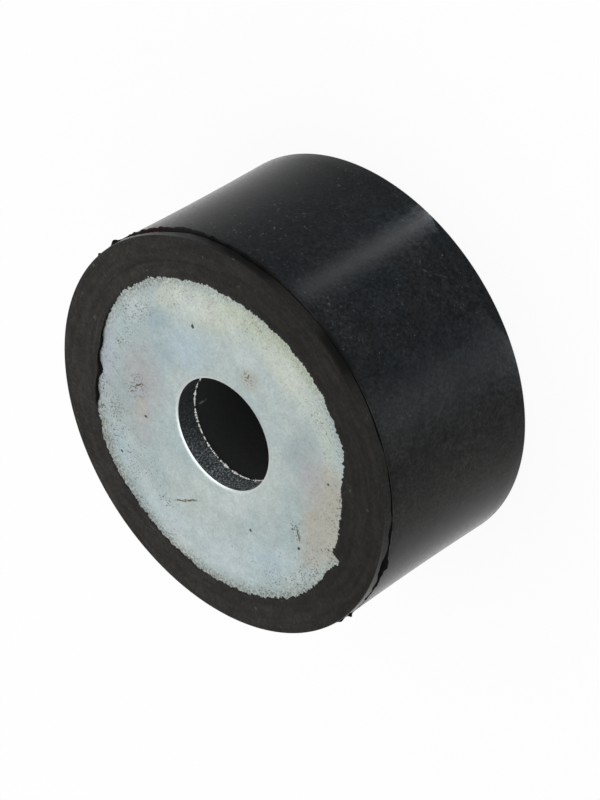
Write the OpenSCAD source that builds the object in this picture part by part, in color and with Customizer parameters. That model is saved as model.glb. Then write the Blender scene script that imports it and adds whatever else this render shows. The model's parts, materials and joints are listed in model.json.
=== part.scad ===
// Round vibration damper: a rubber block moulded between two pierced steel
// plates, with one bolt hole straight through. It stands on its rear end face,
// with the axis along +Z and the front end face on top. Millimetres.

/* [Rubber block] */
// Outside diameter at the front rim
body_d = 60; // [50:1:100]
// Height from end face to end face
body_h = 29.7; // [20:0.1:60]
// Mould draft: how much smaller the radius is at the rear end
draft = 0.7; // [0.1:0.1:1.2]
// Edge radius round the rear end face
rear_edge_r = 0.4; // [0.2:0.1:1.5]
// Edge radius round the front end face
front_edge_r = 0.1; // [0.1:0.1:0.8]
// Gap on the radius between the plates' hole and the rubber's bore
bore_relief = 0.3; // [0.1:0.1:1]

/* [Parting line] */
// Distance of the parting line below the front end face
parting_drop = 1.7; // [1.2:0.1:3]
// How far the flash stands out of the side
flash_out = 0.3; // [0.1:0.1:0.6]
// Thickness of the flash where it leaves the side
flash_root = 0.5; // [0.3:0.1:0.6]
// Thickness of the flash at its torn edge
flash_tip = 0.2; // [0.1:0.1:0.3]

/* [Steel plates] */
// Thickness of each plate
plate_t = 3.5; // [2:0.5:6]
// Diameter of the punched bolt hole
hole_d = 17; // [9:0.5:22]
// Radius of the punched edge at the mouth of the hole
hole_edge_r = 0.1; // [0.1:0.1:1.2]
// Rubber between the plate's rim and the outside of the front end
rim_cover = 2.5; // [2:0.5:6]

/* [Rubber skin over the plates] */
// Thickness of the skin that laps over each plate's outer face
skin_t = 0.1; // [0.1:0.1:1]
// Width of the skin's lap over the plate's rim
skin_lap = 3.3; // [2.5:0.1:6]
// Sideways shift of the front window from the axis
window_shift_x = -0.2; // [-1:0.1:1]
// Shift of the front window from the axis, towards the back
window_shift_y = 0.6; // [-1:0.1:1]
// How far each of the two opposite flats cuts into the front window
window_flat_inset = 2; // [0.2:0.1:3]
// Direction of the flats, in degrees round the axis
window_flat_angle = 38; // [0:1:180]

/* [Hidden] */
$fn = 96;

// Cuts run this far past the faces they break through
past = 1;

body_r = body_d / 2;
rear_r = body_r - draft;
hole_r = hole_d / 2;
bore_r = hole_r + bore_relief;
plate_r = body_r - rim_cover;
window_r = plate_r - skin_lap;
parting_z = body_h - parting_drop;
rear_plate_z = skin_t;
front_plate_z = body_h - skin_t - plate_t;

rubber_black = [0.13, 0.13, 0.13];
zinc_grey = [0.74, 0.78, 0.78];

// Centre of the rear edge's arc, which touches both the end face and the drafted side
draft_slope_l = norm([draft, parting_z]);
rear_arc = [rear_r - rear_edge_r * (draft_slope_l - draft) / parting_z, rear_edge_r];
side_normal = [parting_z, -draft] / draft_slope_l;
rear_arc_end = rear_arc + rear_edge_r * side_normal;

// Half section of the block, with radius along x and height along y
module block_section() {
    polygon([
        [bore_r, 0],
        [rear_arc.x, 0],
        rear_arc_end,
        [body_r, parting_z],
        [body_r, body_h - front_edge_r],
        [body_r - front_edge_r, body_h],
        [bore_r, body_h]
    ]);
    translate(rear_arc) circle(rear_edge_r);
    translate([body_r - front_edge_r, body_h - front_edge_r]) circle(front_edge_r);
    flash_section();
}

// The thin fin that the mould leaves round the parting line
module flash_section() {
    polygon([
        [body_r - flash_out, parting_z - flash_root / 2],
        [body_r, parting_z - flash_root / 2],
        [body_r + flash_out, parting_z - flash_tip / 2],
        [body_r + flash_out, parting_z + flash_tip / 2],
        [body_r, parting_z + flash_root / 2],
        [body_r - flash_out, parting_z + flash_root / 2]
    ]);
}

// A half plane with its edge at the given distance from the middle, in one direction
module within(direction, distance) {
    reach = 2 * body_r;
    rotate(direction) translate([distance - reach, -reach]) square([reach, 2 * reach]);
}

// Outline of the bare steel on the front end: a circle with two opposite flats, a little off the axis
module front_window_outline() {
    flat_distance = window_r - window_flat_inset;
    translate([window_shift_x, window_shift_y])
        intersection() {
            circle(window_r);
            within(window_flat_angle, flat_distance);
            within(window_flat_angle + 180, flat_distance);
        }
}

// Space that one plate fills in the rubber
module plate_pocket(z) {
    translate([0, 0, z]) cylinder(r = plate_r, h = plate_t);
}

// The rubber block: moulded in one piece round both plates
module rubber_body() {
    color(rubber_black)
        difference() {
            rotate_extrude() block_section();
            plate_pocket(front_plate_z);
            plate_pocket(rear_plate_z);
            translate([0, 0, front_plate_z + plate_t])
                linear_extrude(skin_t + past) front_window_outline();
            translate([0, 0, -past]) cylinder(r = window_r, h = skin_t + past);
        }
}

// Half section of a plate lying on z = 0, with the punch's rounded entry edge on top
module plate_section() {
    difference() {
        translate([hole_r, 0]) square([plate_r - hole_r, plate_t]);
        translate([hole_r, plate_t - hole_edge_r]) square(hole_edge_r);
    }
    intersection() {
        translate([hole_r, plate_t - hole_edge_r]) square(hole_edge_r);
        translate([hole_r + hole_edge_r, plate_t - hole_edge_r]) circle(hole_edge_r);
    }
}

// One punched and zinc plated disc
module plate() {
    color(zinc_grey) rotate_extrude() plate_section();
}

module front_plate() {
    translate([0, 0, front_plate_z]) plate();
}

// The same disc turned over, with its rounded entry edge on the rear end
module rear_plate() {
    translate([0, 0, rear_plate_z + plate_t]) rotate([180, 0, 0]) plate();
}

rubber_body();
front_plate();
rear_plate();
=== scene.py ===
"""Round rubber vibration damper with a punched, zinc plated steel plate bonded into each end face."""
import json
import math

import bpy
import numpy as np
from mathutils import Matrix, Vector


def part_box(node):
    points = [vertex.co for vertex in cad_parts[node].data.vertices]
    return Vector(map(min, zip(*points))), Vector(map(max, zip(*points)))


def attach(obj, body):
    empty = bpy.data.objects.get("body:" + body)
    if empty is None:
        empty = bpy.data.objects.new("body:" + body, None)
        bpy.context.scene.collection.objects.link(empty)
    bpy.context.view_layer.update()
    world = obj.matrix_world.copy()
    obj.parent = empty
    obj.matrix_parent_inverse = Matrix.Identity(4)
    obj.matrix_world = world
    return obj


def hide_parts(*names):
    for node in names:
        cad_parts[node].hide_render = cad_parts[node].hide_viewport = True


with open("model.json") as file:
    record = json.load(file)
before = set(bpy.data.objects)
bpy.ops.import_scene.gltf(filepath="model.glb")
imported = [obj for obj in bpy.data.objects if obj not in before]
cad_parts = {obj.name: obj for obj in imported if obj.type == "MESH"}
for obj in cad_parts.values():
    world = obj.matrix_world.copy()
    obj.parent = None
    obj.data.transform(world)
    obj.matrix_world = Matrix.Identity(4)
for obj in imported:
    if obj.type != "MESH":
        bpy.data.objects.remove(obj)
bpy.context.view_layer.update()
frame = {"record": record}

# Steel plates.
# Each end of the damper is a flat disc, punched out of steel sheet and zinc plated before the rubber
# is moulded round it. The punch draws the hole's mouth in a little and leaves a ragged burr inside.
MM = 0.001
FULL_TURN = 2 * math.pi
front_plate_low, front_plate_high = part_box("front_plate")
rear_plate_low, rear_plate_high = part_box("rear_plate")
bolt_hole = next(mount for mount in frame["record"]["mounts"] if mount["name"] == "bolt_hole")
PLATE_R = (front_plate_high.x - front_plate_low.x) / 2
PLATE_T = front_plate_high.z - front_plate_low.z
HOLE_R = bolt_hole["dims"]["r_mm"] * MM
PLATE_COLUMNS = 1080
RIM_CHAMFER = 0.3 * MM
DISH_WIDTH = 3.5 * MM
DISH_DEPTH = 0.04 * MM
ROLL_WIDTH = 0.6 * MM
ROLL_DEPTH = 0.15 * MM
ROLL_STRAIGHT = 0.3
WALL_ROUGHNESS = 0.03 * MM
STREAK_GRAIN = 1.2
BURR_REACH = 0.15 * MM
BURR_HEIGHT = 0.17 * MM
BURR_EDGE = 0.03 * MM
BURR_VARIATION = 0.45
BURR_LEAST, BURR_MOST = 0.3, 2.5
COARSE_BURR_GRAIN, FINE_BURR_GRAIN = 5, 1.5
DISH_ROWS, MOUTH_ROWS, WALL_ROWS = 8, 8, 10
ZONE_GAP = 0.01 * MM
SHARP_ANGLE = math.radians(50)
ON_FACE, ON_MOUTH, ON_WALL, ON_BURR = 0, 1, 2, 3
WINDOW_R = 24.2 * MM
WINDOW_X = -0.2 * MM
WINDOW_Y = 0.6 * MM


def angles(columns):
    """Equal steps round the axis, from +X towards +Y, with the full turn left out."""
    return np.linspace(0, FULL_TURN, columns, endpoint=False)


def ring_noise(columns, grain, seed):
    """Seeded noise round a ring: white noise blurred by a Gaussian of grain columns, then scaled to a
    standard deviation of one. The blur is done on the ring's spectrum, so the ends meet."""
    white = np.random.default_rng(seed).normal(size=columns)
    wave_numbers = np.fft.rfftfreq(columns)
    blurred = np.fft.irfft(np.fft.rfft(white) * np.exp(-2 * (math.pi * grain * wave_numbers) ** 2), columns)
    return (blurred - blurred.mean()) / blurred.std()


def shares(rows, columns):
    """A grid that rises in equal steps from 0 towards 1, one step to a row, and is the same round the ring.
    The step at 1 is left to the next run of the section."""
    return np.linspace(0, 1, rows, endpoint=False)[:, None] + np.zeros(columns)


def straight(start, end, rows, columns):
    """Rows of a straight run between two points of the section, given as (radius, height), where either
    value may change round the ring. The last point is left to the next run."""
    share = shares(rows, columns)
    start_r, start_z, end_r, end_z = [np.broadcast_to(value, columns) for value in (*start, *end)]
    return start_r + (end_r - start_r) * share, start_z + (end_z - start_z) * share


def ring_mesh(name, radius, height, material, **marks):
    """A closed ring: grid point (j, i) lies radius[j, i] from the axis and height[j, i] up it, at the
    i-th equal step round it. The last row and column join the first, and the section runs
    anticlockwise, with radius to the right and height upwards, so that the faces point outwards.
    Each mark is a grid of numbers that the material reads as an attribute of that name."""
    rows, columns = radius.shape
    turn = angles(columns)
    points = np.stack([radius * np.cos(turn), radius * np.sin(turn), height], axis=-1)
    row, column = np.meshgrid(np.arange(rows), np.arange(columns), indexing="ij")
    next_row, next_column = (row + 1) % rows, (column + 1) % columns
    corners = [(row, column), (row, next_column), (next_row, next_column), (next_row, column)]
    quads = np.stack([j * columns + i for j, i in corners], axis=-1)
    mesh = bpy.data.meshes.new(name)
    mesh.vertices.add(rows * columns)
    mesh.vertices.foreach_set("co", points.astype(np.float32).ravel())
    mesh.loops.add(quads.size)
    mesh.loops.foreach_set("vertex_index", quads.astype(np.int32).ravel())
    mesh.polygons.add(rows * columns)
    mesh.polygons.foreach_set("loop_start", np.arange(0, quads.size, 4, dtype=np.int32))
    mesh.update(calc_edges=True)
    mesh.validate()
    for mark, grid in marks.items():
        layer = mesh.attributes.new(mark, "FLOAT", "POINT")
        layer.data.foreach_set("value", grid.astype(np.float32).ravel())
    mesh.set_sharp_from_angle(angle=SHARP_ANGLE)
    mesh.materials.append(material)
    piece = bpy.data.objects.new(name, mesh)
    bpy.context.scene.collection.objects.link(piece)
    return piece


def stack_runs(runs):
    """Joins runs of (radius, height, marks...) into whole grids, one row after another. A mark may be one
    number for the run or a grid of its own."""
    grids = []
    for values in zip(*runs):
        shaped = [np.broadcast_to(value, run[0].shape) for value, run in zip(values, runs)]
        grids.append(np.concatenate(shaped))
    return grids


def plate_section(seed):
    """Radius, depth and zone of a punched disc, as (row, column) grids, with depth counted from the outer
    face. The section runs up the rim, in across the outer face, which dishes towards the hole in a
    parabola, down the mouth, which is a straight slope plus a parabola, down the streaked wall, over the
    burr and out along the inner face."""
    columns = PLATE_COLUMNS
    streak = ring_noise(columns, STREAK_GRAIN, seed)
    coarse_burr = ring_noise(columns, COARSE_BURR_GRAIN, seed + 1)
    fine_burr = ring_noise(columns, FINE_BURR_GRAIN, seed + 2)
    burr = np.clip(1 + BURR_VARIATION * (coarse_burr + fine_burr), BURR_LEAST, BURR_MOST)
    dish = shares(DISH_ROWS, columns)
    mouth = shares(MOUTH_ROWS, columns)
    down = shares(WALL_ROWS, columns)
    roll_top = HOLE_R + ROLL_WIDTH
    mouth_depth = DISH_DEPTH + ROLL_DEPTH * (ROLL_STRAIGHT * mouth + (1 - ROLL_STRAIGHT) * mouth ** 2)
    edge_depth = DISH_DEPTH + ROLL_DEPTH
    burr_top = PLATE_T - BURR_HEIGHT * burr
    burr_r = HOLE_R - BURR_REACH * burr
    burr_low = PLATE_T - BURR_EDGE
    rim_in = PLATE_R - RIM_CHAMFER
    runs = [
        (*straight((PLATE_R, PLATE_T - RIM_CHAMFER), (PLATE_R, RIM_CHAMFER), 1, columns), ON_FACE),
        (*straight((PLATE_R, RIM_CHAMFER), (rim_in, 0), 1, columns), ON_FACE),
        (*straight((rim_in, 0), (roll_top + DISH_WIDTH, 0), 4, columns), ON_FACE),
        (roll_top + DISH_WIDTH * (1 - dish), DISH_DEPTH * dish ** 2, ON_FACE),
        (HOLE_R + ROLL_WIDTH * (1 - mouth), mouth_depth, mouth),
        (*straight((HOLE_R, edge_depth), (HOLE_R, edge_depth), 1, columns), ON_MOUTH),
        (HOLE_R + WALL_ROUGHNESS * streak * np.minimum(1, 4 * down),
         edge_depth + ZONE_GAP + (burr_top - edge_depth) * down, ON_WALL),
        (*straight((HOLE_R, burr_top), (HOLE_R, burr_top), 1, columns), ON_WALL),
        (*straight((HOLE_R, burr_top + ZONE_GAP), (burr_r, burr_low), 2, columns), ON_BURR),
        (*straight((burr_r, burr_low), (burr_r, PLATE_T), 1, columns), ON_BURR),
        (*straight((burr_r, PLATE_T), (rim_in, PLATE_T), 3, columns), ON_FACE),
        (*straight((rim_in, PLATE_T), (PLATE_R, PLATE_T - RIM_CHAMFER), 1, columns), ON_FACE),
    ]
    return stack_runs(runs)


class Nodes:
    """A material's node tree, with short calls for the nodes that the damper's finishes need."""

    def __init__(self, name):
        self.material = bpy.data.materials.new(name)
        self.material.use_nodes = True
        self.tree = self.material.node_tree
        self.shader = self.tree.nodes["Principled BSDF"]

    def add(self, kind, inputs=(), **settings):
        """A new node of that kind, with its settings, and its inputs given by name or number."""
        node = self.tree.nodes.new(kind)
        for name, value in settings.items():
            setattr(node, name, value)
        for name, value in dict(inputs).items():
            self.put(node.inputs[name], value)
        return node

    def put(self, socket, value):
        """Sets one input, or links it where the value is another node's output."""
        if isinstance(value, bpy.types.NodeSocket):
            self.tree.links.new(value, socket)
        else:
            socket.default_value = value

    def math(self, operation, a, b=0.0):
        """One arithmetic step on two numbers or outputs."""
        return self.add("ShaderNodeMath", {0: a, 1: b}, operation=operation).outputs[0]

    def times(self, *factors):
        """The product of several numbers or outputs."""
        product = factors[0]
        for factor in factors[1:]:
            product = self.math("MULTIPLY", product, factor)
        return product

    def between(self, share, low, high):
        """A number that runs from low, where share is 0, to high, where it is 1."""
        inputs = {"Value": share, "To Min": low, "To Max": high}
        return self.add("ShaderNodeMapRange", inputs).outputs["Result"]

    def mix(self, share, a, b):
        """Colour a where share is 0 and colour b where it is 1."""
        node = self.add("ShaderNodeMix", data_type="RGBA")
        for name, value in (("Factor_Float", share), ("A_Color", a), ("B_Color", b)):
            self.put(next(socket for socket in node.inputs if socket.identifier == name), value)
        return next(socket for socket in node.outputs if socket.identifier == "Result_Color")

    def fade(self, value, low, high):
        """0 at low, 1 at high and a smooth step between, whichever of the two is larger."""
        node = self.add("ShaderNodeMapRange", {"Value": value}, interpolation_type="SMOOTHSTEP")
        start, end, first, last = (low, high, 0.0, 1.0) if low < high else (high, low, 1.0, 0.0)
        for name, number in (("From Min", start), ("From Max", end), ("To Min", first), ("To Max", last)):
            node.inputs[name].default_value = number
        return node.outputs["Result"]

    def shade(self, colour, strength):
        """A colour made lighter or darker by a factor, or a vector made longer or shorter."""
        inputs = {0: colour, "Scale": strength}
        return self.add("ShaderNodeVectorMath", inputs, operation="SCALE").outputs[0]

    def place(self):
        """Where the shaded point lies in the damper's own frame."""
        return self.add("ShaderNodeTexCoord").outputs["Object"]

    def along(self, axis):
        """The shaded point's coordinate on one axis."""
        return self.add("ShaderNodeSeparateXYZ", {"Vector": self.place()}).outputs[axis]

    def mark(self, name):
        """A number that the mesh carries on its points."""
        return self.add("ShaderNodeAttribute", attribute_name=name).outputs["Fac"]

    def noise(self, size, detail=2.0, roughness=0.5, at=None):
        """Cloudy noise of about 0 to 1 whose patches are the given size across."""
        inputs = {"Vector": at or self.place(), "Scale": 1 / size, "Detail": detail, "Roughness": roughness}
        return self.add("ShaderNodeTexNoise", inputs).outputs["Fac"]

    def stretched(self, x, y, z, degrees=(0, 0, 0)):
        """The place with each axis divided by a number, after a turn by the given angles."""
        turn = [math.radians(angle) for angle in degrees]
        inputs = {"Vector": self.place(), "Rotation": turn, "Scale": (x, y, z)}
        return self.add("ShaderNodeMapping", inputs, vector_type="TEXTURE").outputs["Vector"]

    def swept(self, width, length):
        """Coordinates in which noise makes streaks round the axis, of about the given width and length."""
        point = self.add("ShaderNodeSeparateXYZ", {"Vector": self.place()}).outputs
        across = self.math("DIVIDE", self.from_axis(), width)
        inputs = {"X": across, "Y": self.math("DIVIDE", point["X"], length),
                  "Z": self.math("DIVIDE", point["Y"], length)}
        return self.add("ShaderNodeCombineXYZ", inputs).outputs["Vector"]

    def wandering(self, size, distance):
        """The place moved about by cloudy noise, so that what is drawn there gets uneven edges."""
        cloud = self.add("ShaderNodeTexNoise", {"Vector": self.place(), "Scale": 1 / size, "Detail": 3.0})
        from_middle = {0: cloud.outputs["Color"], 1: (0.5, 0.5, 0.5)}
        centred = self.add("ShaderNodeVectorMath", from_middle, operation="SUBTRACT").outputs[0]
        moved = {0: self.place(), 1: self.shade(centred, distance)}
        return self.add("ShaderNodeVectorMath", moved, operation="ADD").outputs[0]

    def patch(self, at, x, y, length, width, degrees=0.0, core=0.0):
        """An oval on the end faces, given in millimetres and turned by an angle from +X: 1 in its core,
        which is a share of its size, and fading to 0 at its edge. Its scale on Z is so large that height
        doesn't count."""
        middle = (x * MM, y * MM, 0.0)
        rotation = (0, 0, math.radians(degrees))
        half_size = (0.5 * length * MM, 0.5 * width * MM, 1000.0)
        inputs = {"Vector": at, "Location": middle, "Rotation": rotation, "Scale": half_size}
        local = self.add("ShaderNodeMapping", inputs, vector_type="TEXTURE")
        away = self.add("ShaderNodeVectorMath", {0: local.outputs["Vector"]}, operation="LENGTH")
        return self.fade(away.outputs["Value"], 1.0, core)

    def spots(self, at, spacing, radius, share):
        """Soft spots, one to a cell of the given spacing, of up to the given radius. Only that share of the
        cells has one, chosen by the cell's own random colour, which also sets its strength."""
        cells = self.add("ShaderNodeTexVoronoi", {"Vector": at, "Scale": 1 / spacing})
        chance = self.add("ShaderNodeSeparateColor", {"Color": cells.outputs["Color"]}).outputs
        reach = self.math("MULTIPLY", chance["Green"], radius / spacing)
        depth = self.math("DIVIDE", self.math("SUBTRACT", reach, cells.outputs["Distance"]), reach)
        chosen = self.math("LESS_THAN", chance["Red"], share)
        return self.times(self.fade(depth, 0.0, 0.6), chosen, chance["Blue"])

    def from_axis(self, x=0.0, y=0.0):
        """Distance of the shaded point from an upright line, which is the damper's axis unless moved."""
        flat = self.add("ShaderNodeVectorMath", {0: self.place(), 1: (1, 1, 0)}, operation="MULTIPLY")
        away = self.add("ShaderNodeVectorMath", {0: flat.outputs[0], 1: (x, y, 0)}, operation="DISTANCE")
        return away.outputs["Value"]

    def bump(self, height, distance, strength=1.0):
        """A normal that rises and falls with height, by up to the given distance."""
        inputs = {"Height": height, "Distance": distance, "Strength": strength}
        return self.add("ShaderNodeBump", inputs).outputs["Normal"]

    def finish(self, **values):
        """Sets the shader's own inputs, with underscores for spaces in their names."""
        for name, value in values.items():
            self.put(self.shader.inputs[name.replace("_", " ")], value)
        return self.material


COOL_ZINC = (0.388, 0.468, 0.472, 1)
WARM_ZINC = (0.438, 0.500, 0.486, 1)
STRAW = (0.512, 0.549, 0.490, 1)
DEEP_STRAW = (0.450, 0.498, 0.414, 1)
SKY = (0.408, 0.500, 0.540, 1)
TEAL = (0.334, 0.418, 0.448, 1)
ROSE = (0.390, 0.398, 0.405, 1)
TAN = (0.398, 0.383, 0.331, 1)
SLATE = (0.322, 0.382, 0.383, 1)
PALE = (0.550, 0.600, 0.585, 1)
CLEAR = (0.460, 0.532, 0.540, 1)
LILAC = (0.403, 0.442, 0.484, 1)
SPECK_BROWN = (0.075, 0.066, 0.05, 1)
SMEAR_BROWN = (0.15, 0.137, 0.095, 1)
SCRATCH_BROWN = (0.08, 0.065, 0.045, 1)
PIT_BLACK = (0.02, 0.02, 0.018, 1)
# The burnished mouth of the hole, painted paler to carry its highlight.
MOUTH_HIGHLIGHT_STEEL = (0.57, 0.60, 0.59, 1)
# Painted shade: the torn wall's steel is painted dark for the shade inside the hole.
SHADED_TORN_STEEL = (0.036, 0.043, 0.046)
TORN_FLECK = (0.47, 0.52, 0.54, 1)
# Painted highlight: the burr's bare steel is painted brighter, for the light it catches.
BURR_HIGHLIGHT_STEEL = (0.80, 0.81, 0.79)
# Tints of the front plating: x, y, length and width in millimetres, turn in degrees, colour, strength.
FRONT_TINTS = [
    (12.5, -3, 14, 9, 75, SKY, 0.9),
    (15, -12.5, 18, 11, 49, STRAW, 1.0),
    (4, -19.5, 20, 10, 11, STRAW, 0.9),
    (10.5, -18.5, 18, 5, 30, DEEP_STRAW, 0.9),
    (20, -6, 10, 7, 75, STRAW, 0.9),
    (17, -9, 9, 6, 62, PALE, 0.5),
    (3, -12, 7, 5, 0, WARM_ZINC, 0.9),
    (-7, -20, 12, 5, -20, DEEP_STRAW, 0.4),
    (17.6, -0.6, 6.5, 5, 90, TEAL, 0.8),
    (13.5, 3, 11, 8, 100, TEAL, 0.7),
    (12.5, 9.5, 18, 11, 125, ROSE, 0.9),
    (12, 15.5, 16, 9, 143, SLATE, 0.5),
    (8.8, 12.9, 6, 4, 120, TAN, 0.5),
    (6, 15, 8, 6, 150, ROSE, 0.5),
    (17.2, 13.4, 18, 5, 128, LILAC, 0.9),
    (6, 21, 8, 5, 165, SKY, 0.7),
    (4.5, -11.4, 5.5, 5.5, 0, TAN, 0.55),
    (-8, -14.5, 13, 8, -30, SLATE, 0.75),
    (-8, -11, 8.5, 6, -50, SLATE, 0.75),
    (7.5, -12.5, 7, 5, 30, PALE, 0.45),
    (-12, -12, 12, 9, -45, ROSE, 0.9),
    (-15.2, -1, 8, 6, 100, SLATE, 0.35),
    (-18, -9, 20, 11, 115, TAN, 0.9),
    (-14, -15, 13, 8, 135, TAN, 0.8),
    (-21, -2, 9, 5, 95, TAN, 0.6),
    (-18, 6, 12, 7, 75, SKY, 0.8),
    (-14, 14.5, 20, 10, 43, CLEAR, 1.0),
    (-5, 20, 16, 8, 15, CLEAR, 1.0),
    (-9, 5.5, 9, 6, 68, PALE, 0.6),
    (-6, 9.5, 10, 4, 28, PALE, 0.35),
    (-12.5, -6.5, 10, 7, 110, SLATE, 0.45),
    (-9, 21.5, 10, 4, 22, PALE, 0.5),
    (21.5, 1.5, 9, 5, 95, PALE, 0.4),
    (15.3, -2.6, 6, 4, 80, TEAL, 0.35),
    (-5, 12.5, 12, 4, 25, WARM_ZINC, 0.5),
    (4, -22.5, 24, 4.5, 9, DEEP_STRAW, 0.8),
]
# Pits through the front plating: x, y and diameter in millimetres.
FRONT_PITS = [(14.8, -7.1, 0.8), (7.7, 12.7, 0.6), (5.5, 21.7, 0.6), (-13.2, 5.8, 0.6), (-13.2, -14.6, 0.6),
              (-18.7, -1.4, 0.6), (-20.9, -7, 0.5)]
# Brown dirt on the front plating: x, y, length and width in millimetres, turn in degrees and strength.
FRONT_DIRT = [
    (-16.4, -2.8, 6, 3.6, 150, 1.0),
    (10.5, 18, 10, 7, 150, 0.75),
    (12, 11, 8, 5, 100, 0.9),
    (-16.2, -3.2, 4.5, 1.6, 150, 1.0),
    (-3.4, 19, 5, 3, 10, 0.8),
    (2, 18, 13, 7, 170, 0.5),
    (2.5, 21.5, 12, 4, 170, 0.6),
    (5, -11.5, 4, 3, 0, 0.9),
    (-22.6, -1.5, 5, 2.4, 90, 1.0),
    (-22.5, -6, 4, 2.4, 105, 1.0),
    (-17.2, -13.6, 15, 2.4, 128, 0.9),
    (16.2, 12.6, 13, 2, 128, 0.4),
]
# Scratches on the front plating: x, y, length and width in millimetres, and turn in degrees.
FRONT_SCRATCHES = [(-5.2, 14.8, 6.5, 0.5, 70), (-16.9, -3, 3.4, 0.5, 150), (11.9, 10.6, 3, 0.4, 86)]


def zinc_finish(name, tints=(), pits=(), dirt=(), scratches=()):
    """Dull zinc plating: a pale grey that drifts between cool and warm, with tinted patches, fine grain,
    brown specks that crowd the rubber's edge and the dirt, pits and scratches. The punched wall is torn
    steel painted dark as shade; painted light makes it lighter towards -X, where its pale flecks show.
    The burr on its inner edge is painted bright and the hole's mouth paler, as highlights."""
    zinc = Nodes(name)
    loose = zinc.wandering(5 * MM, 4 * MM)
    tight = zinc.wandering(1.2 * MM, 0.7 * MM)
    colour = zinc.mix(zinc.fade(zinc.noise(14 * MM, 3.0), 0.36, 0.64), COOL_ZINC, WARM_ZINC)
    for x, y, length, width, degrees, tint, strength in tints:
        here = zinc.patch(loose, x, y, length, width, degrees, 0.25)
        colour = zinc.mix(zinc.times(here, strength), colour, tint)
    grain = zinc.noise(0.35 * MM, 3.0, 0.7)
    clouds = zinc.noise(1.8 * MM, 3.0, 0.6)
    light = zinc.times(zinc.between(grain, 0.68, 1.32), zinc.between(clouds, 0.82, 1.18))
    colour = zinc.shade(colour, light)
    from_middle = zinc.from_axis(WINDOW_X, WINDOW_Y)
    crowd = zinc.fade(zinc.noise(2.4 * MM, 3.0), 0.42, 0.62)
    outward = zinc.fade(from_middle, 13 * MM, 24 * MM)
    far_half = zinc.between(zinc.fade(zinc.along("Y"), -14 * MM, 10 * MM), 0.6, 1.0)
    clean_corner = zinc.patch(loose, -10, 17, 32, 12, 28, 0.4)
    density = zinc.times(outward, far_half, zinc.between(crowd, 0.35, 1.0))
    density = zinc.times(density, zinc.between(clean_corner, 1.0, 0.3))
    for x, y, length, width, degrees, strength in dirt:
        here = zinc.times(zinc.patch(tight, x, y, length, width, degrees, 0.3), strength)
        density = zinc.math("MAXIMUM", density, here)
    dots = zinc.noise(0.28 * MM, 2.0, 0.55)
    limit = zinc.between(density, 0.65, 0.53)
    specks = zinc.fade(zinc.math("SUBTRACT", dots, limit), 0.0, 0.06)
    specks = zinc.times(specks, zinc.between(density, 0.3, 0.95))
    colour = zinc.mix(specks, colour, SPECK_BROWN)
    rim = zinc.fade(from_middle, 21.8 * MM, 24.3 * MM)
    smear = zinc.times(rim, zinc.fade(zinc.noise(0.4 * MM, 3.0, 0.65), 0.42, 0.6))
    smear = zinc.times(smear, zinc.between(zinc.fade(zinc.along("Y"), -20 * MM, -6 * MM), 0.45, 0.8))
    colour = zinc.mix(smear, colour, SMEAR_BROWN)
    bare = specks
    for x, y, length, width, degrees in scratches:
        here = zinc.times(zinc.patch(tight, x, y, length, width, degrees, 0.5), zinc.fade(grain, 0.4, 0.5))
        colour = zinc.mix(here, colour, SCRATCH_BROWN)
        bare = zinc.math("MAXIMUM", bare, here)
    for x, y, size in pits:
        here = zinc.patch(tight, x, y, size, size, 0.0, 0.5)
        colour = zinc.mix(here, colour, PIT_BLACK)
        bare = zinc.math("MAXIMUM", bare, here)
    zone = zinc.mark("zone")
    mouth = zinc.fade(zone, 0.2, 0.8)
    wall = zinc.fade(zone, 1.2, 1.6)
    burr = zinc.fade(zone, 2.3, 2.7)
    flecks = zinc.fade(zinc.noise(0.15 * MM, 3.0, 0.7, zinc.stretched(1, 1, 2.2)), 0.48, 0.68)
    # Painted light and shade on the punched wall: lighter, with more pale flecks, towards -X and darker
    # towards +X.
    wall_light = zinc.between(zinc.fade(zinc.along("X"), 7 * MM, -4 * MM), 0.12, 1.0)
    wall_shade = zinc.shade(SHADED_TORN_STEEL, zinc.between(wall_light, 0.45, 1.0))
    torn = zinc.mix(zinc.times(flecks, wall_light), wall_shade, TORN_FLECK)
    # Painted highlight along the burr, uneven round it.
    burr_highlight = zinc.shade(BURR_HIGHLIGHT_STEEL, zinc.between(zinc.noise(0.7 * MM, 2.0), 0.35, 1.1))
    colour = zinc.mix(mouth, colour, MOUTH_HIGHLIGHT_STEEL)
    colour = zinc.mix(wall, colour, torn)
    colour = zinc.mix(burr, colour, burr_highlight)
    dull = zinc.math("MAXIMUM", bare, zinc.math("SUBTRACT", wall, burr))
    metallic = zinc.between(dull, 1.0, 0.0)
    roughness = zinc.math("ADD", zinc.between(grain, 0.28, 0.48), zinc.times(dull, 0.3))
    roughness = zinc.math("SUBTRACT", roughness, zinc.times(mouth, 0.15))
    ripple = zinc.bump(grain, 0.02 * MM, 0.5)
    return zinc.finish(Base_Color=colour, Metallic=metallic, Roughness=roughness, Normal=ripple)


front_radius, front_depth, front_zone = plate_section(seed=1)
front_plate = ring_mesh("front_steel_plate", front_radius, front_plate_high.z - front_depth,
                        zinc_finish("front_zinc", FRONT_TINTS, FRONT_PITS, FRONT_DIRT, FRONT_SCRATCHES),
                        zone=front_zone)
rear_radius, rear_depth, rear_zone = [grid[::-1] for grid in plate_section(seed=50)]
rear_plate = ring_mesh("rear_steel_plate", rear_radius, rear_plate_low.z + rear_depth,
                       zinc_finish("rear_zinc"), zone=rear_zone)
for plate, node in ((front_plate, "front_plate"), (rear_plate, "rear_plate")):
    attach(plate, "root")
    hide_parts(node)

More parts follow.
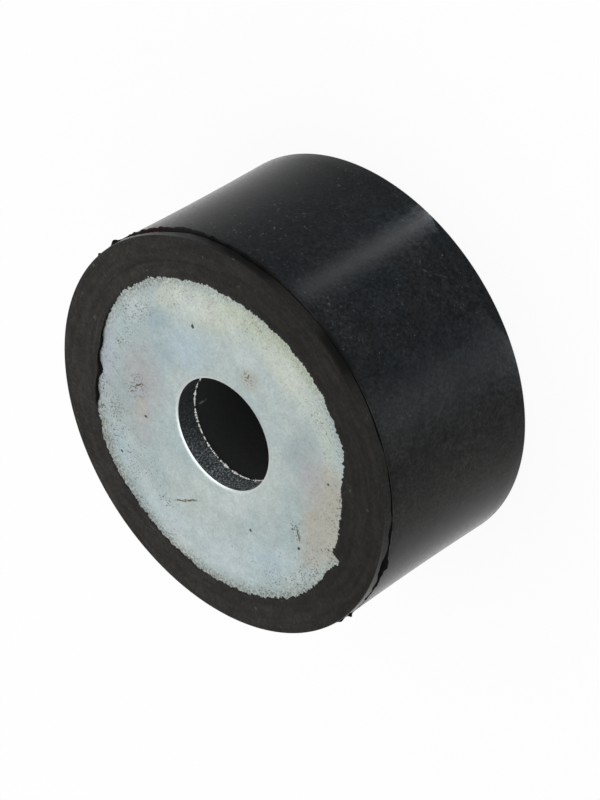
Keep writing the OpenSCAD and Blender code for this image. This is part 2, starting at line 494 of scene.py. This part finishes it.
# Rubber block.
# Black rubber, moulded and bonded round both plates in one shot. It laps over each plate's rim in a
# thin skin with a ragged edge, and keeps a torn line of flash where the two mould halves met.
BODY_COLUMNS = 1440
body_low, body_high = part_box("rubber_body")
HEIGHT = body_high.z
FLASH_OUT = 0.3 * MM
BODY_R = (body_high.x - body_low.x) / 2 - FLASH_OUT
DRAFT = 0.7 * MM
WAIST = 0.14 * MM
PARTING_DROP = 1.7 * MM
PARTING_Z = HEIGHT - PARTING_DROP
SHOULDER = 0.85 * MM
FRONT_EDGE_R = 0.1 * MM
REAR_EDGE_R = 0.4 * MM
REAR_SKIN_SLOPE = 0.3 * MM
BORE_RELIEF = 0.3 * MM
BORE_R = HOLE_R + BORE_RELIEF
FAR_TONGUE_R = 23.25 * MM
NEAR_TONGUE_R = 22.1 * MM
LIP_BULGE = 0.3 * MM
CREST_WIDTH = 1.0 * MM
CREST_LINE = 0.75 * MM
CREST_STEP = 0.15 * MM
SIDE_ROWS, SHOULDER_ROWS, RIM_ROWS = 12, 5, 5
REAR_EDGE_ROWS, FRONT_EDGE_ROWS, LAND_ROWS, LIP_ROWS = 5, 4, 8, 6
QUARTER_TURN = math.pi / 2
# Painted light: the share of pale grey on the bore's rubber, for light inside the hole.
BORE_LIGHT = 0.55
turn = angles(BODY_COLUMNS)


def swell(degrees, half_width):
    """A smooth hump round the ring: a Gaussian of the angle from its middle, in degrees, one high."""
    away = (np.degrees(turn) - degrees + 180) % 360 - 180
    return np.exp(-(away / half_width) ** 2)


def ramp(start, end):
    """A straight rise from 0 to 1 between two angles, in degrees from 0 to 360."""
    return np.clip((np.degrees(turn) - start) / (end - start), 0, 1)


def ragged(grain, seed):
    """Noise round the ring of this block, in standard deviations."""
    return ring_noise(BODY_COLUMNS, grain, seed)


def window_outline():
    """Distance from the axis to the edge of the bare steel in each direction: an uneven circle round the
    window's centre, with two tongues of rubber that lap further in. The near one starts with a step."""
    towards = np.cos(turn) * WINDOW_X + np.sin(turn) * WINDOW_Y
    circle = towards + np.sqrt(WINDOW_R ** 2 - WINDOW_X ** 2 - WINDOW_Y ** 2 + towards ** 2)
    uneven = 0.3 * swell(-93, 10) - 0.3 * swell(-52, 16) - 0.32 * swell(-26, 15) + 0.5 * swell(74, 9)
    uneven = uneven - 0.25 * swell(114, 8) - 0.35 * swell(180, 5) - 0.85 * swell(190, 4.5)
    uneven = uneven + 0.3 * swell(197.8, 1.3)
    far = ramp(6, 32) * (1 - ramp(47, 61))
    near = ramp(198.6, 199.4) * (1 - ramp(230, 244))
    far_reach = FAR_TONGUE_R + 0.4 * MM * ramp(34, 58)
    near_reach = NEAR_TONGUE_R + 0.55 * MM * (1 - ramp(199, 214))
    edge = circle + uneven * MM
    return edge + (far_reach - edge) * far + (near_reach - edge) * near


# The skin's edge is thin and frayed, but stands up in a thick scalloped lip along the far tongue.
far_lip = ramp(10, 30) * (1 - ramp(57, 60))
teeth = 0.1 * ragged(0.8, 301) + 0.06 * ragged(2.5, 302) + 0.06 * ragged(11, 303)
teeth = teeth * (1 - 0.8 * far_lip)
smooth_edge = window_outline()
scallops = 0.12 * swell(20.5, 1.2) + 0.12 * swell(24.5, 1.2) + 0.3 * swell(32.5, 2.5)
scallops = scallops + 0.8 * swell(44, 3) + 0.5 * swell(55, 2) - 0.05 * ragged(3.2, 304)
front_edge = smooth_edge + MM * (teeth - far_lip * scallops)
land_in = front_edge + (smooth_edge - front_edge) * far_lip + (0.4 - 0.25 * far_lip) * MM
lip_width = land_in - front_edge
lip_power = 1.2 + 2.5 * far_lip
rear_edge = WINDOW_R + 0.06 * MM * ragged(2, 305)
# The flash is a low torn fin with a groove in front of it. Both swell and fade round the block, and painted
# shade, in the torn black, darkens the rubber beside them along part of the near side.
fray = ragged(2, 306)
lumps = ragged(8, 307)
line_z = PARTING_Z + MM * (0.1 + 0.03 * ragged(25, 308) + 0.2 * swell(-14, 12) - 0.25 * swell(-31, 6))
tall = 0.42 * swell(-14, 13) + 0.25 * swell(-32, 8) + 0.4 * swell(-153, 3) + 0.15 * swell(-160, 2)
bits = 0.5 * swell(9, 1.1) + 0.5 * swell(0.5, 1.5) + 0.45 * swell(-177, 0.9) + 0.3 * swell(-182, 1.8)
bits = bits + 0.3 * swell(-39, 1.3) + 0.35 * swell(-45, 1.3) + 0.3 * swell(-51, 1.3) + 0.2 * swell(-57, 1)
fin = MM * np.clip(0.03 + 0.015 * fray + tall * (0.7 + 0.2 * fray + 0.2 * lumps) + bits, 0.01, 0.65)
fin_thick = 0.1 + 0.02 * lumps + 1.1 * tall + (0.25 + 0.1 * lumps) * swell(-34, 9)
fin_thick = MM * np.clip(fin_thick, 0.06, 0.65)
wide = 0.55 * swell(-15, 21) + 0.25 * swell(-51, 9) + 0.12 * swell(-88, 5) + 0.85 * swell(-153, 3.6)
wide = wide + 0.5 * swell(-160, 2) + 0.5 * swell(-167, 1.8) + 0.3 * swell(-140.5, 2.5)
wide = wide + 0.08 * (swell(-112, 4) + swell(-125, 3) + swell(-133, 2)) + 0.22 * swell(-145, 6)
broken = np.clip(0.4 + 1.2 * ragged(8, 309), 0.0, 1.0)
gate = 1 - swell(-170, 12) * (1 - broken)
groove = MM * gate * np.clip(0.1 + 0.02 * lumps + 0.3 * wide, 0.05, 0.35)
groove_wide = MM * (0.02 + gate * np.clip(0.075 + 0.04 * lumps + wide * (1 + 0.15 * lumps), 0.02, 0.8))
# Painted shade beside the groove: how strongly the rubber there takes the torn black.
groove_shade = 1.25 * swell(-53, 11) + 1.2 * swell(-87, 8) + 0.5 * swell(-36, 9) + 0.4 * swell(-70, 9)
groove_shade = groove_shade + 0.4 * swell(-118, 30)
groove_shade = np.clip(groove_shade, 0, 1)
rim_dull = np.clip(1.2 * swell(-85, 42), 0, 1)
# Painted highlight: the front edge is paler, most at the limbs, and the rim a little paler on part of the
# near side.
highlit_limbs = swell(-12, 24) + swell(-163, 20)
rim_pale = 0.04 * swell(-115, 30)
edge_pale = (0.08 + 0.92 * highlit_limbs) * (1 - 0.8 * groove_shade)

# Rows of the block's section: the side's waist is a parabola, and both end edges are quarter circles.
side_share = 1 - shares(SIDE_ROWS, BODY_COLUMNS)
side_r = BODY_R - DRAFT * side_share - 4 * WAIST * side_share * (1 - side_share)
side_top = PARTING_Z - SHOULDER
rear_r = BODY_R - DRAFT
rear_turn = QUARTER_TURN * shares(REAR_EDGE_ROWS, BODY_COLUMNS)
front_turn = QUARTER_TURN * shares(FRONT_EDGE_ROWS, BODY_COLUMNS)
inward = shares(LAND_ROWS, BODY_COLUMNS)
over = shares(LIP_ROWS, BODY_COLUMNS)
shoulder_shade = np.minimum(1, 1.3 * groove_shade * shares(SHOULDER_ROWS, BODY_COLUMNS) ** (2 - groove_shade))
rim_shade = groove_shade * (1 - shares(RIM_ROWS, BODY_COLUMNS)) ** (1.1 - groove_shade)
fin_r = BODY_R + fin
fin_foot = line_z - fin_thick
fin_low = line_z - 0.6 * fin_thick
fin_high = line_z - 0.1 * fin_thick
groove_r = BODY_R - groove
groove_top = line_z + 1.1 * groove_wide
rim_low = line_z + 1.2 * groove_wide
front_floor, rear_floor = front_plate_high.z, rear_plate_low.z
front_inner, rear_inner = front_plate_low.z, rear_plate_high.z
land_out = BODY_R - FRONT_EDGE_R
lip_top = HEIGHT + LIP_BULGE * far_lip
crest_out = land_in + CREST_WIDTH
crest_line = land_in + CREST_LINE
# A pale line painted along the far lip's crest and top edge as a highlight.
crest_highlight = far_lip * np.clip(0.5 + 0.5 * ragged(12, 310), 0, 1)


def run(start, end, rows, land=0, torn=0, pale=0):
    """Rows of a straight run of the block's section, with its shares of land finish, of torn black and
    painted shade, and of painted light.
    """
    return (*straight(start, end, rows, BODY_COLUMNS), land, torn, pale)


block_runs = [
    # The section starts at the rear skin's edge and runs out over the rear land and its round edge.
    run((rear_edge, rear_floor), (rear_edge + REAR_SKIN_SLOPE, 0), 2, land=1),
    run((rear_edge + REAR_SKIN_SLOPE, 0), (rear_r - REAR_EDGE_R, 0), 2, land=1),
    (rear_r - REAR_EDGE_R * (1 - np.sin(rear_turn)), REAR_EDGE_R * (1 - np.cos(rear_turn)), 0, 0, 0),
    # It goes up the drafted and slightly waisted side to the torn fin, and through the groove.
    (side_r, REAR_EDGE_R + (side_top - REAR_EDGE_R) * (1 - side_share), 0, 0, 0),
    run((BODY_R, side_top), (BODY_R, fin_foot), SHOULDER_ROWS, torn=shoulder_shade),
    run((BODY_R, fin_foot), (fin_r, fin_low), 1, torn=np.maximum(0.3, groove_shade)),
    run((fin_r, fin_low), (fin_r, fin_high), 1, torn=1),
    run((BODY_R + 0.8 * fin, line_z), (groove_r, line_z + 0.3 * groove_wide), 1, torn=1),
    run((groove_r, line_z + 0.35 * groove_wide), (groove_r, line_z + 0.6 * groove_wide), 1, torn=1),
    run((BODY_R - 0.7 * groove, line_z + 0.8 * groove_wide), (BODY_R, groove_top), 1, torn=1),
    # It crosses the narrow rim, rounds the front edge and runs in over the land. Beside the groove, painted
    # shade darkens the rim and edge, and painted highlight makes them paler in places.
    run((BODY_R, groove_top), (BODY_R, rim_low), 1, rim_dull, groove_shade, rim_pale),
    run((BODY_R, rim_low), (BODY_R, HEIGHT - FRONT_EDGE_R), RIM_ROWS, rim_dull, rim_shade, rim_pale),
    (land_out + FRONT_EDGE_R * np.cos(front_turn), HEIGHT - FRONT_EDGE_R * (1 - np.sin(front_turn)),
     rim_dull, 0.4 * groove_shade, edge_pale),
    (land_out + (crest_out - land_out) * inward, HEIGHT + LIP_BULGE * far_lip * inward ** 3, 1, 0, 0),
    # It crosses the lip's flat crest, which has a pale line painted on it as a highlight, and falls to the
    # skin's edge.
    run((crest_out, lip_top), (crest_line + CREST_STEP, lip_top), 1, land=1),
    run((crest_line + CREST_STEP, lip_top), (crest_line, lip_top), 1, land=1),
    run((crest_line, lip_top), (crest_line - CREST_STEP, lip_top), 1, land=1, pale=0.25 * crest_highlight),
    run((crest_line - CREST_STEP, lip_top), (land_in + CREST_STEP, lip_top), 1, land=1),
    run((land_in + CREST_STEP, lip_top), (land_in, lip_top), 1, land=1),
    # Painted shade: where the far lip stands up, its wall is painted in the torn black.
    (land_in - lip_width * over, front_floor + (lip_top - front_floor) * (1 - over ** lip_power),
     1, far_lip * np.minimum(1, 2 * over), 0.22 * crest_highlight * (over == 0)),
    # It follows both plates and the rubber's own bore inside, whose rubber is painted paler as light in
    # the hole.
    run((front_edge, front_floor), (PLATE_R, front_floor), 1, land=1, torn=far_lip),
    run((PLATE_R, front_floor), (PLATE_R, front_inner), 1),
    run((PLATE_R, front_inner), (BORE_R, front_inner), 1),
    run((BORE_R, front_inner), (BORE_R, rear_inner), 3, pale=BORE_LIGHT),
    run((BORE_R, rear_inner), (PLATE_R, rear_inner), 1, pale=BORE_LIGHT),
    run((PLATE_R, rear_inner), (PLATE_R, rear_floor), 1),
    run((PLATE_R, rear_floor), (rear_edge, rear_floor), 1, land=1),
]

COOL_SIDE = (0.0080, 0.0105, 0.0128, 1)
GREY_SIDE = (0.0110, 0.0122, 0.0134, 1)
WARM_SIDE = (0.0125, 0.0118, 0.0108, 1)
SHADED_SIDE = (0.0040, 0.0050, 0.0062, 1)
SHADED_LAND_DARK = (0.0108, 0.0102, 0.0089, 1)
SHADED_LAND_LIGHT = (0.0168, 0.0159, 0.0140, 1)
LIT_LAND_DARK = (0.0188, 0.0177, 0.0157, 1)
LIT_LAND_LIGHT = (0.0264, 0.0250, 0.0224, 1)
DUST_GREY = (0.13, 0.137, 0.138, 1)
PAINTED_LIGHT_GREY = (0.075, 0.078, 0.075, 1)
SCUFF_GREY = (0.30, 0.30, 0.28, 1)
TORN_AND_SHADE_BLACK = (0.0052, 0.0053, 0.0052, 1)
FIN_BLACK = (0.0150, 0.0142, 0.0136, 1)
RUST_BROWN = (0.0210, 0.0100, 0.0095, 1)
# Places of single marks: the moulded ring's radius, the middles of its clearest stretch, of the tall fin
# and of the rust stain on the fin, and the scuff in the bore.
RING_R = 26.2 * MM
RING_MIDDLE = (25 * MM, -9 * MM)
FIN_MIDDLE = (28.2 * MM, -10.3 * MM)
RUST_MIDDLE = (28.7 * MM, -8.8 * MM)
SCUFF_MIDDLE = (5.4 * MM, 7 * MM)
SCUFF_Z = 24.3 * MM


def rubber_finish():
    """Black moulded rubber: satin and bluish on the side, duller and browner on the end faces and matt
    black where it is torn. Painted shade darkens the side towards +X, and the rubber beside the groove and
    the far lip's wall take the torn black as painted shade. Painted light and shade make the land lighter
    towards +Y and +X and darker towards -Y and -X. Painted light makes the front edge and rim paler in
    places, draws a pale highlight line on the far lip's crest and makes the bore paler. Dust lies in soft
    specks and fine hairs, mostly on the side. A faint ring shows on the front land, a rust stain on the fin
    and a scuff in the bore."""
    rubber = Nodes("black_rubber")
    land, torn, pale = rubber.mark("land"), rubber.mark("torn"), rubber.mark("pale")
    cloud = rubber.noise(8 * MM, 3.0)
    side_colour = rubber.mix(rubber.fade(cloud, 0.3, 0.7), COOL_SIDE, GREY_SIDE)
    warm_side = rubber.fade(rubber.along("X"), -6 * MM, -24 * MM)
    side_colour = rubber.mix(warm_side, side_colour, WARM_SIDE)
    # Painted shade: the side is darker towards +X.
    shaded_side = rubber.fade(rubber.along("X"), 10 * MM, 24 * MM)
    side_colour = rubber.mix(shaded_side, side_colour, SHADED_SIDE)
    sweep = rubber.fade(rubber.noise(1.0, 2.0, 0.5, rubber.swept(0.9 * MM, 7 * MM)), 0.3, 0.7)
    shaded_near_land = rubber.mix(sweep, SHADED_LAND_DARK, SHADED_LAND_LIGHT)
    lit_far_land = rubber.mix(sweep, LIT_LAND_DARK, LIT_LAND_LIGHT)
    # Painted light and shade: the land is lighter towards +Y and +X and darker towards -Y and -X.
    light_slant = rubber.math("ADD", rubber.times(rubber.along("Y"), 0.9), rubber.times(rubber.along("X"), 0.45))
    land_colour = rubber.mix(rubber.fade(light_slant, -24 * MM, 10 * MM), shaded_near_land, lit_far_land)
    colour = rubber.mix(land, side_colour, land_colour)
    grime = rubber.fade(rubber.noise(0.5 * MM, 3.0, 0.65), 0.3, 0.7)
    stains = rubber.fade(rubber.noise(2.2 * MM, 3.0, 0.6), 0.3, 0.7)
    grime_low, grime_high = rubber.between(land, 0.5, 0.7), rubber.between(land, 1.5, 1.3)
    stain_low, stain_high = rubber.between(land, 0.75, 0.88), rubber.between(land, 1.2, 1.12)
    colour = rubber.shade(colour, rubber.between(grime, grime_low, grime_high))
    colour = rubber.shade(colour, rubber.between(stains, stain_low, stain_high))
    from_ring = rubber.math("ABSOLUTE", rubber.math("SUBTRACT", rubber.from_axis(), RING_R))
    ring_stretch = rubber.fade(rubber.from_axis(*RING_MIDDLE), 16 * MM, 7 * MM)
    ring = rubber.times(rubber.fade(from_ring, 0.35 * MM, 0.05 * MM), ring_stretch, land)
    colour = rubber.shade(colour, rubber.between(ring, 1.0, 0.72))
    towards_dust = rubber.fade(rubber.along("X"), 6 * MM, 22 * MM)
    dusty_end = rubber.times(towards_dust, rubber.fade(rubber.along("Z"), 6 * MM, 22 * MM))
    dusty = rubber.math("MAXIMUM", rubber.fade(rubber.noise(9 * MM, 2.0), 0.42, 0.68), dusty_end)
    uneven = rubber.wandering(0.5 * MM, 0.8 * MM)
    fine = rubber.fade(rubber.noise(0.45 * MM, 2.0, 0.6), 0.62, 0.8)
    fine = rubber.times(fine, rubber.between(dusty, 0.1, 0.7))
    coarse = rubber.spots(uneven, 1.2 * MM, 0.3 * MM, 0.4)
    coarse = rubber.times(coarse, rubber.between(dusty, 0.15, 1.0))
    specks = rubber.math("MAXIMUM", fine, coarse)
    hair = rubber.noise(1.0, 2.0, 0.5, rubber.stretched(0.25 * MM, 4 * MM, 4 * MM, (20, 40, 35)))
    hair_places = rubber.fade(rubber.noise(6 * MM), 0.5, 0.62)
    hairs = rubber.times(rubber.fade(hair, 0.68, 0.78), hair_places, 0.3)
    dust = rubber.times(rubber.math("MAXIMUM", specks, hairs), rubber.between(land, 0.9, 0.45))
    colour = rubber.mix(dust, colour, DUST_GREY)
    # Painted light: the paler front edge, rim, crest line and bore.
    colour = rubber.mix(pale, colour, PAINTED_LIGHT_GREY)
    scuff_height = rubber.math("ABSOLUTE", rubber.math("SUBTRACT", rubber.along("Z"), SCUFF_Z))
    scuff_line = rubber.fade(rubber.from_axis(*SCUFF_MIDDLE), 0.3 * MM, 0.05 * MM)
    scuff_breaks = rubber.fade(rubber.noise(0.2 * MM, 2.0), 0.42, 0.58)
    scuff = rubber.times(scuff_line, scuff_breaks, rubber.fade(scuff_height, 1.0 * MM, 0.5 * MM))
    colour = rubber.mix(scuff, colour, SCUFF_GREY)
    fin_stretch = rubber.fade(rubber.from_axis(*FIN_MIDDLE), 11 * MM, 4 * MM)
    rust = rubber.fade(rubber.from_axis(*RUST_MIDDLE), 2.8 * MM, 1.2 * MM)
    torn_colour = rubber.mix(fin_stretch, TORN_AND_SHADE_BLACK, FIN_BLACK)
    torn_colour = rubber.mix(rust, torn_colour, RUST_BROWN)
    # Torn rubber and the painted shade beside the groove and on the far lip's wall take the torn black.
    colour = rubber.mix(torn, colour, torn_colour)
    satin = rubber.math("ADD", rubber.between(land, 0.2, 0.53), rubber.between(grime, -0.05, 0.07))
    roughness = rubber.math("MAXIMUM", rubber.math("MAXIMUM", satin, dust), rubber.times(torn, 0.9))
    skin = rubber.bump(rubber.noise(0.5 * MM, 3.0, 0.6), 0.018 * MM, 0.65)
    return rubber.finish(Base_Color=colour, Roughness=roughness, Normal=skin, Specular_IOR_Level=0.055)


block_radius, block_height, block_land, block_torn, block_pale = stack_runs(block_runs)
block = ring_mesh("rubber_block", block_radius, block_height, rubber_finish(),
                  land=block_land, torn=block_torn, pale=block_pale)
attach(block, "root")
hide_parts("rubber_body")

# Camera.
# It looks down on the front face from the -Y side, turned about its own line of sight, so that the
# axis points to the lower left of the frame as it does in the photograph.
FRAME_W, FRAME_H = 600, 800
FACE_CENTRE_PX = (221.86, 435.39)
RADIUS_PX = 219.4
CAMERA_ELEVATION = math.radians(37.398)
CAMERA_ROLL = math.radians(-121.334)
CAMERA_DISTANCE = 37.775 * BODY_R
SENSOR = 36.0
level_right = Vector((1, 0, 0))
level_up = Vector((0, math.sin(CAMERA_ELEVATION), math.cos(CAMERA_ELEVATION)))
back = Vector((0, -math.cos(CAMERA_ELEVATION), math.sin(CAMERA_ELEVATION)))
right = math.cos(CAMERA_ROLL) * level_right + math.sin(CAMERA_ROLL) * level_up
up = math.cos(CAMERA_ROLL) * level_up - math.sin(CAMERA_ROLL) * level_right
metres_per_px = BODY_R / RADIUS_PX
aim = Vector((0, 0, HEIGHT))
aim += right * (FRAME_W / 2 - FACE_CENTRE_PX[0]) * metres_per_px
aim += up * (FACE_CENTRE_PX[1] - FRAME_H / 2) * metres_per_px
camera_data = bpy.data.cameras.new("camera")
camera_data.sensor_width = SENSOR
camera_data.lens = SENSOR * CAMERA_DISTANCE / (FRAME_H * metres_per_px)
camera = bpy.data.objects.new("camera", camera_data)
camera_turn = Matrix((right, up, back)).transposed().to_4x4()
camera.matrix_world = Matrix.Translation(aim + back * CAMERA_DISTANCE) @ camera_turn
bpy.context.scene.collection.objects.link(camera)
bpy.context.scene.camera = camera

# Floor and light.
# A wide white floor, a white surround and one large soft lamp overhead. Narrow strips of light on the
# floor beside the damper give its side a narrow sheen and a broad one.
FLOOR_HALF = 6.0
FLOOR_GLOW = 0.92
SURROUND_STRENGTH = 0.9
OVERHEAD_SIZE = 0.7
OVERHEAD_RADIANCE = 1.0
OVERHEAD_PLACE = (0.12, 0.1, 0.7)
SHEEN_LIFT = 0.1 * MM


def white_floor():
    """White paper that keeps a small share of its shading, so that the damper's shadow shows faintly."""
    paper = Nodes("white_floor")
    paper.finish(Base_Color=(0.8, 0.8, 0.8, 1), Roughness=0.9, Specular_IOR_Level=0.0)
    ray = paper.add("ShaderNodeLightPath").outputs
    seen = paper.math("MAXIMUM", ray["Is Camera Ray"], ray["Is Glossy Ray"])
    seen = paper.math("MAXIMUM", seen, ray["Is Transmission Ray"])
    share = paper.times(seen, FLOOR_GLOW)
    glow = paper.add("ShaderNodeEmission", {"Color": (1, 1, 1, 1), "Strength": 1.0})
    both = paper.add("ShaderNodeMixShader", {0: share, 1: paper.shader.outputs[0], 2: glow.outputs[0]})
    paper.put(paper.tree.nodes["Material Output"].inputs["Surface"], both.outputs[0])
    return paper.material


floor_mesh = bpy.data.meshes.new("floor")
floor_corners = [(-FLOOR_HALF, -FLOOR_HALF, 0), (FLOOR_HALF, -FLOOR_HALF, 0),
                 (FLOOR_HALF, FLOOR_HALF, 0), (-FLOOR_HALF, FLOOR_HALF, 0)]
floor_mesh.from_pydata(floor_corners, [], [(0, 1, 2, 3)])
floor_mesh.materials.append(white_floor())
floor = bpy.data.objects.new("floor", floor_mesh)
bpy.context.scene.collection.objects.link(floor)

world = bpy.data.worlds.new("white_surround")
world.use_nodes = True
world.node_tree.nodes["Background"].inputs["Color"].default_value = (1, 1, 1, 1)
world.node_tree.nodes["Background"].inputs["Strength"].default_value = SURROUND_STRENGTH
bpy.context.scene.world = world


def lamp(name, width, length, radiance, pose):
    """A rectangular lamp that shines along its own -Z and whose power gives the asked radiance:
    a flat lamp sends out pi times its area times its radiance."""
    light = bpy.data.lights.new(name, "AREA")
    light.shape = "RECTANGLE"
    light.size, light.size_y = width, length
    light.energy = math.pi * width * length * radiance
    holder = bpy.data.objects.new(name, light)
    holder.matrix_world = pose
    bpy.context.scene.collection.objects.link(holder)


overhead_pose = Matrix.Translation(OVERHEAD_PLACE)
lamp("overhead_lamp", OVERHEAD_SIZE, OVERHEAD_SIZE, OVERHEAD_RADIANCE, overhead_pose)


def sheen(name, lift, side_degrees, foot_width, spread, foot_radiance, far_radiance, strips):
    """A row of strips just over the floor, where the side at side_degrees mirrors them to the camera. The
    row starts at the foot of the side and runs out at the mirror angle. Each strip is wider than the
    last, by spread times its distance, and their radiance falls in a parabola from the foot's to the far
    end's."""
    strip_length = HEIGHT / math.tan(CAMERA_ELEVATION) / strips
    normal = math.radians(side_degrees)
    mirror = 2 * normal + math.pi / 2
    foot = Vector((math.cos(normal), math.sin(normal), 0)) * (BODY_R - DRAFT)
    away = Vector((math.cos(mirror), math.sin(mirror), 0))
    upward = Vector((0, 0, 1))
    facing = Matrix((away.cross(upward), -away, -upward)).transposed().to_4x4()
    for step in range(strips):
        distance = (step + 0.5) * strip_length
        radiance = foot_radiance + (far_radiance - foot_radiance) * (step / (strips - 1)) ** 2
        place = foot + away * distance + upward * lift
        width = foot_width + spread * distance
        lamp(f"{name}_{step}", width, strip_length, radiance, Matrix.Translation(place) @ facing)


# Each sheen is three rows of different widths, one over another, so that it fades out at its sides.
for level, share in enumerate((0.3, 0.8, 1.5), start=1):
    sheen(f"narrow_sheen_{level}", SHEEN_LIFT * level, side_degrees=-68.4, foot_width=2.6 * MM * share,
          spread=0.2 * share, foot_radiance=2.5, far_radiance=0.65, strips=6)
for level, share in enumerate((0.4, 0.8, 1.2), start=1):
    sheen(f"broad_sheen_{level}", SHEEN_LIFT * level, side_degrees=-109.0, foot_width=8 * MM * share,
          spread=0.6 * share, foot_radiance=0.6, far_radiance=0.6, strips=3)

bpy.context.scene.view_settings.view_transform = "Standard"
